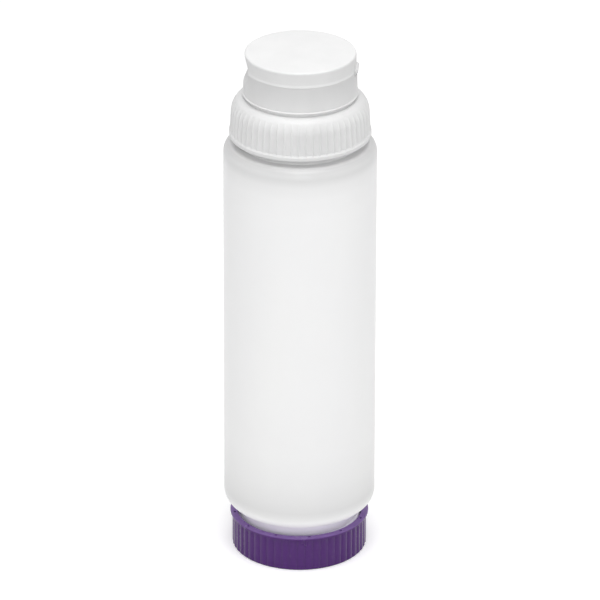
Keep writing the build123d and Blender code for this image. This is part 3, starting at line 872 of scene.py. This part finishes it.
def turret_shell():
    """The turret with its lip, the upstand, the deck, the spout and the boss under the deck."""
    lip = TURRET_NECK + 0.95
    lip_round = 0.12
    corners = [
        (TURRET_BORE, LAND_Z, 0),
        (SEAM, LAND_Z, 0),
        (TURRET_NECK, LAND_Z + 1.3, 0),
        (TURRET_NECK, TURRET_LIP_Z, lip_round),
        (lip, TURRET_LIP_Z, lip_round),
        (lip, TURRET_LIP_Z + 0.3, lip_round),
        (TURRET_NECK + 0.5, TURRET_LIP_Z + 0.6, lip_round),
    ]
    corners += reversed(across_edge(TURRET_NECK + 0.19, POCKET_FOOT_Z))
    corners += [(TURRET_NECK + 0.1, PARTING_Z, 0.15), (UPSTAND, PARTING_Z, 0.1)]
    corners += arc(UPSTAND, UPSTAND_BEAD_Z, UPSTAND_BEAD, -90, 90, 8)
    corners += [
        (UPSTAND, UPSTAND_TOP_Z, 0.3),
        (UPSTAND_INNER, UPSTAND_TOP_Z, 0.3),
        (UPSTAND_INNER, DECK_TOP_Z, 0.3),
        (SPOUT_RADIUS, DECK_TOP_Z, 0.4),
        (SPOUT_RADIUS, SPOUT_TOP_Z, 0.4),
        (SPOUT_BORE, SPOUT_TOP_Z, 0.4),
        (SPOUT_BORE, DECK_FOOT_Z, 0.1),
        (BOSS_BORE, DECK_FOOT_Z, 0),
        (BOSS_BORE, BOSS_FOOT_Z, 0.2),
        (BOSS_RADIUS, BOSS_FOOT_Z, 0.2),
        (BOSS_RADIUS, DECK_FOOT_Z, 0.3),
        (TURRET_BORE, DECK_FOOT_Z, 0.3),
        (TURRET_BORE, BACKING_FOOT_Z + TOUCH, 0),
        (TURRET_BORE, BACKING_FOOT_Z - TOUCH, 0),
    ]
    side_foot, side_top = PARTING_Z - SCOOP_HALF_HEIGHT - 0.9, PARTING_Z - 0.02
    outline = with_steps(rounded(corners), SIDE_STEP, side_foot, side_top, TURRET_BORE - 0.5)
    return turned(outline, turret_angles(), turret_shape)


def make_dispensing_cap():
    """The white cap, in one piece."""
    piece = add_piece("dispensing_cap_shell", skirt_shell(), turret_shell())
    finish_piece(piece, WHITE, "dispensing_cap", "white_cap", "dispensing_cap")


# ================================================================ valve and its retainer

SLEEVE = SPOUT_BORE - 0.6
VALVE_SKIN = 0.6
VALVE_ROUND = 0.15
ROLL_RADIUS = 1.1
ROLL_Z = VALVE_TOP_Z - ROLL_RADIUS
DISH_RIM_Z = DECK_FOOT_Z + 1.8
DISH_DEPTH = 0.9
DISH_THICKNESS = 1.1
SLIT_WIDTH = 0.3
SLIT_MARGIN = 1.6


def box_shell(half_x, half_y, low_z, high_z):
    """A box about the Z axis as a shell, for cutting."""
    corners = [(x, y, z) for x in (-half_x, half_x) for y in (-half_y, half_y) for z in (low_z, high_z)]
    faces = [[0, 1, 3, 2], [4, 6, 7, 5], [0, 4, 5, 1], [2, 3, 7, 6], [0, 2, 6, 4], [1, 5, 7, 3]]
    return corners, faces


def cut(piece, cutter):
    """Takes a cutter out of a piece for good, and deletes the cutter."""
    step = piece.modifiers.new("slits", "BOOLEAN")
    step.operation = "DIFFERENCE"
    step.solver = "EXACT"
    step.object = cutter
    ready = piece.evaluated_get(bpy.context.evaluated_depsgraph_get())
    mesh = bpy.data.meshes.new_from_object(ready)
    piece.modifiers.clear()
    piece.data = mesh
    mesh.set_sharp_from_angle(angle=radians(SHARP_ANGLE))
    bpy.data.objects.remove(cutter)


def make_valve():
    """The silicone valve: a flange, a sleeve that rolls over, and a dished head with crossed slits."""
    roll_centre = SLEEVE - ROLL_RADIUS
    roll_inner = ROLL_RADIUS - VALVE_SKIN
    roll_edge = roll_centre - ROLL_RADIUS
    dish_radius = (roll_edge**2 + DISH_DEPTH**2) / (2 * DISH_DEPTH)
    dish_z = DISH_RIM_Z - DISH_DEPTH
    dish_last = -90 + degrees(asin(roll_edge / dish_radius))
    corners = [
        (VALVE_FLANGE_RADIUS, DECK_FOOT_Z, VALVE_ROUND),
        (VALVE_FLANGE_RADIUS, VALVE_FOOT_Z, VALVE_ROUND),
        (SLEEVE - VALVE_SKIN, VALVE_FOOT_Z, VALVE_ROUND),
    ]
    corners += arc(roll_centre, ROLL_Z, roll_inner, 0, 180, 10)
    corners += [
        (roll_centre - roll_inner, DISH_RIM_Z - DISH_THICKNESS, VALVE_ROUND),
        (0, dish_z - DISH_THICKNESS, 0),
        (0, dish_z, 0),
    ]
    # The arc's first point is the dish's middle, which is already there
    corners += arc(0, dish_z + dish_radius, dish_radius, -90, dish_last, 12)[1:]
    corners += arc(roll_centre, ROLL_Z, ROLL_RADIUS, 180, 0, 16)
    corners.append((SLEEVE, DECK_FOOT_Z, 0.2))
    piece = add_piece("valve_dome", turned(rounded(corners), even_angles(128)))
    reach = roll_edge - SLIT_MARGIN
    half_slit = SLIT_WIDTH / 2
    for half_x, half_y in ((reach, half_slit), (half_slit, reach)):
        cut(piece, add_piece("slit_cutter", box_shell(half_x, half_y, VALVE_FOOT_Z, ROLL_Z)))
    finish_piece(piece, SILICONE, "dispensing_cap", "valve_silicone", "silicone_valve")


def make_retainer():
    """The ring that holds the valve's flange up against the deck."""
    bore = SLEEVE + 0.3
    foot_round = 0.5
    corners = [
        (bore, RETAINER_FOOT_Z, foot_round),
        (RETAINER_RADIUS, RETAINER_FOOT_Z, foot_round),
        (RETAINER_RADIUS, VALVE_FOOT_Z, VALVE_ROUND),
        (bore, VALVE_FOOT_Z, VALVE_ROUND),
    ]
    piece = add_piece("retainer_ring", turned(rounded(corners), even_angles(128)))
    finish_piece(piece, WHITE, "dispensing_cap", "white_cap", "valve_retainer")


# ================================================================ living hinge

HINGE_FILM = 0.9
HINGE_LOOP_REACH = 1.1
HINGE_LOOP_HALF = 1.1
HINGE_ARC_STEPS = 20
HINGE_COLUMNS = 13
HINGE_SUNK = 0.05  # least depth of the strap's face under the round side it is set in


def bowed(edge_y, tip_y, first_z, last_z):
    """Points (y, z) of an arc that bows out from two heights at edge_y to tip_y between them."""
    reach = tip_y - edge_y
    half = (first_z - last_z) / 2
    radius = (reach**2 + half**2) / (2 * reach)
    centre_y = tip_y - radius
    centre_z = (first_z + last_z) / 2
    first = atan2(half, edge_y - centre_y)
    turns = [first * (1 - 2 * k / HINGE_ARC_STEPS) for k in range(HINGE_ARC_STEPS + 1)]
    return [(centre_y + radius * cos(t), centre_z + radius * sin(t)) for t in turns]


def make_hinge():
    """The moulded strap, whose loop bends from the cap's side to the lid's."""
    face_y = HINGE_TIP_Y - HINGE_LOOP_REACH
    loop_top = PARTING_Z + HINGE_LOOP_HALF
    loop_foot = PARTING_Z - HINGE_LOOP_HALF
    inner_top = loop_top - HINGE_FILM
    inner_foot = loop_foot + HINGE_FILM
    outside = [(HINGE_FLAT_Y, HINGE_TOP_Z), (face_y, HINGE_TOP_Z)]
    outside += bowed(face_y, HINGE_TIP_Y, loop_top, loop_foot)
    outside += [(face_y, HINGE_FOOT_Z), (HINGE_FLAT_Y, HINGE_FOOT_Z), (HINGE_FLAT_Y, inner_foot)]
    inside = bowed(face_y - HINGE_FILM, HINGE_TIP_Y - HINGE_FILM, inner_foot, inner_top)
    inside.append((HINGE_FLAT_Y, inner_top))
    vertices = []
    last = HINGE_COLUMNS - 1
    for k in range(HINGE_COLUMNS):
        x = HINGE_HALF_WIDTH * (2 * k / last - 1)
        side_y = sqrt(LID_SIDE**2 - x**2) - HINGE_SUNK
        vertices += [(x, y if y > face_y + TOUCH else min(y, side_y), z) for y, z in outside]
        # The loop is closed at both ends of the strap
        at_end = k in (0, last)
        vertices += [(x, HINGE_FLAT_Y if at_end else min(y, side_y), z) for y, z in inside]
    size = len(outside) + len(inside)
    faces = [list(range(size)), [last * size + i for i in reversed(range(size))]]
    for k in range(last):
        for i in range(size):
            j = (i + 1) % size
            faces.append([k * size + i, k * size + j, (k + 1) * size + j, (k + 1) * size + i])
    piece = add_piece("hinge_strap", (vertices, faces), bevel=0.1)
    piece.data.materials.append(WHITE)
    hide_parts("living_hinge")
    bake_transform(piece)


# ================================================================ floor, light and camera

# In metres and degrees, apart from the photo's own pixels and the sensor's millimetres
CAMERA_AZIMUTH = 93.0
CAMERA_ELEVATION = 25.43
CAMERA_ROLL = radians(0.14)
CAMERA_DISTANCE = 3.0
CAMERA_TARGET = Vector((0, 0, 0.1240))
FOCAL_PIXELS = 6530
PICTURE_PIXELS = 600
PRINCIPAL_X = 299.8  # the photo's column that the camera points at
SENSOR = 36.0
PAPER_WHITE = (1, 1, 1, 1)
WORLD_LIGHT = 0.45  # strength of the white world as a light; seen directly it is 1
FLOOR_LIFT = 0.35  # glow of the floor for rays that see it directly
FLOOR_HALF = 6.0
LAMP_TARGET = Vector((0, 0, 0.13))
LAMP_DISTANCE = 1.6
LAMPS = (  # name, degrees from the camera, elevation, width, height, watts
    ("low_front", 4, 20, 0.2, 0.9, 4.0),
    ("left_side", -80, 42, 0.8, 0.8, 2.0),
    ("right_side", 80, 42, 0.8, 0.8, 1.8),
    ("high_front", 6, 65, 0.6, 0.6, 4.3),
    ("overhead", 0, 84, 0.9, 0.9, 10.4),
)


def direction(azimuth, elevation):
    """Unit vector from the object towards a viewer; azimuth 0 is on the -Y side."""
    a, e = radians(azimuth), radians(elevation)
    return Vector((sin(a) * cos(e), -cos(a) * cos(e), sin(e)))


def make_camera():
    """The photograph's view, with a long lens: the scoop is at the left and the hinge at the right."""
    data = bpy.data.cameras.new("camera")
    data.sensor_width = SENSOR
    data.lens = FOCAL_PIXELS / PICTURE_PIXELS * SENSOR
    data.shift_x = (PICTURE_PIXELS / 2 - PRINCIPAL_X) / PICTURE_PIXELS
    data.clip_start = 0.05
    data.clip_end = 60
    camera = bpy.data.objects.new("camera", data)
    bpy.context.scene.collection.objects.link(camera)
    away = direction(CAMERA_AZIMUTH, CAMERA_ELEVATION)
    camera.location = CAMERA_TARGET + away * CAMERA_DISTANCE
    level = (-away).to_track_quat("-Z", "Y")
    camera.rotation_euler = (level @ Quaternion((0, 0, 1), CAMERA_ROLL)).to_euler()
    bpy.context.scene.camera = camera


def seen_directly(nodes, links):
    """1 for rays from the camera, from gloss and through clear plastic, and else 0."""
    path = nodes.new("ShaderNodeLightPath")
    first = nodes.new("ShaderNodeMath")
    first.operation = "MAXIMUM"
    second = nodes.new("ShaderNodeMath")
    second.operation = "MAXIMUM"
    links.new(path.outputs["Is Camera Ray"], first.inputs[0])
    links.new(path.outputs["Is Glossy Ray"], first.inputs[1])
    links.new(first.outputs["Value"], second.inputs[0])
    links.new(path.outputs["Is Transmission Ray"], second.inputs[1])
    return second


def make_world():
    """A white backdrop, which lights the object more dimly than it looks."""
    world = bpy.data.worlds.new("studio")
    world.use_nodes = True
    bpy.context.scene.world = world
    nodes, links = world.node_tree.nodes, world.node_tree.links
    background = nodes["Background"]
    background.inputs["Color"].default_value = PAPER_WHITE
    level = nodes.new("ShaderNodeMapRange")
    level.inputs["To Min"].default_value = WORLD_LIGHT
    level.inputs["To Max"].default_value = 1.0
    links.new(seen_directly(nodes, links).outputs["Value"], level.inputs["Value"])
    links.new(level.outputs["Result"], background.inputs["Strength"])


def make_floor():
    """A plain pale floor, lifted to the backdrop's white where it is seen directly."""
    mesh = bpy.data.meshes.new("floor")
    corners = [(x * FLOOR_HALF, y * FLOOR_HALF, 0) for x, y in ((-1, -1), (1, -1), (1, 1), (-1, 1))]
    mesh.from_pydata(corners, [], [[0, 1, 2, 3]])
    floor = bpy.data.objects.new("floor", mesh)
    bpy.context.scene.collection.objects.link(floor)
    material, nodes, links, shader = new_material("studio_floor")
    dust = noise(nodes, links, scale=9, detail=4.0)
    pale = ramp(nodes, links, dust, (0.84, 0.84, 0.84), (0.86, 0.86, 0.86))
    links.new(pale, shader.inputs["Base Color"])
    shader.inputs["Roughness"].default_value = 0.8
    shader.inputs["Specular IOR Level"].default_value = 0.2
    shader.inputs["Emission Color"].default_value = PAPER_WHITE
    level = nodes.new("ShaderNodeMath")
    level.operation = "MULTIPLY"
    level.inputs[1].default_value = FLOOR_LIFT
    links.new(seen_directly(nodes, links).outputs["Value"], level.inputs[0])
    links.new(level.outputs["Value"], shader.inputs["Emission Strength"])
    mesh.materials.append(material)


def make_lights():
    """Soft rectangular lamps in front, at both sides and overhead."""
    for name, turn, elevation, width, height, power in LAMPS:
        data = bpy.data.lights.new(name, "AREA")
        data.shape = "RECTANGLE"
        data.size = width
        data.size_y = height
        data.energy = power
        lamp = bpy.data.objects.new(name, data)
        bpy.context.scene.collection.objects.link(lamp)
        away = direction(CAMERA_AZIMUTH + turn, elevation)
        lamp.location = LAMP_TARGET + away * LAMP_DISTANCE
        lamp.rotation_euler = (-away).to_track_quat("-Z", "Y").to_euler()


# ================================================================ the scene

make_bottle()
make_threads()
make_gaskets()
make_refill_cap()
make_dispensing_cap()
make_valve()
make_retainer()
make_hinge()
make_lid()
make_floor()
make_world()
make_lights()
make_camera()
bpy.context.scene.view_settings.view_transform = "Standard"
